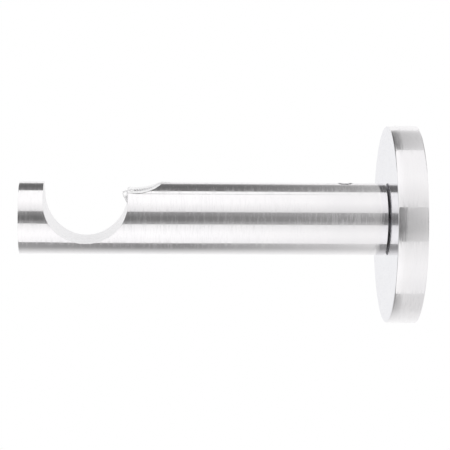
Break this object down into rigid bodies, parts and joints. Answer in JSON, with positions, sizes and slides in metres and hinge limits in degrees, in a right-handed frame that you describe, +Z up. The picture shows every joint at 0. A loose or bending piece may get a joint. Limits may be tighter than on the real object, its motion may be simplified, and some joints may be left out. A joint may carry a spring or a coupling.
{
  "type": "curtain pole bracket",
  "caption": "Round bar arm with an open half-round cradle for a curtain pole, on a round wall rose that hides its fixing plate.",
  "frame": {"origin": "centre of the wall plate's back face, on the arm's axis", "axes": "+X into the wall, so that the arm points along -X; +Z up, the way the cradle opens; the pole lies along Y"},
  "size_m": [0.1368, 0.0684, 0.0684],
  "materials": {
    "turned_steel": "bright turned stainless steel with fine turning lines",
    "plated_steel": "zinc-plated steel",
    "screw_steel": "plain stainless screw steel"
  },
  "bodies": {
    "root": {"arm": "turned_steel", "rose": "turned_steel", "wall_plate": "plated_steel", "spigot": "plated_steel", "spigot_screw": "screw_steel", "arm_grub_screw": "screw_steel", "pole_lock_screw": "screw_steel"}
  },
  "joints": []
}
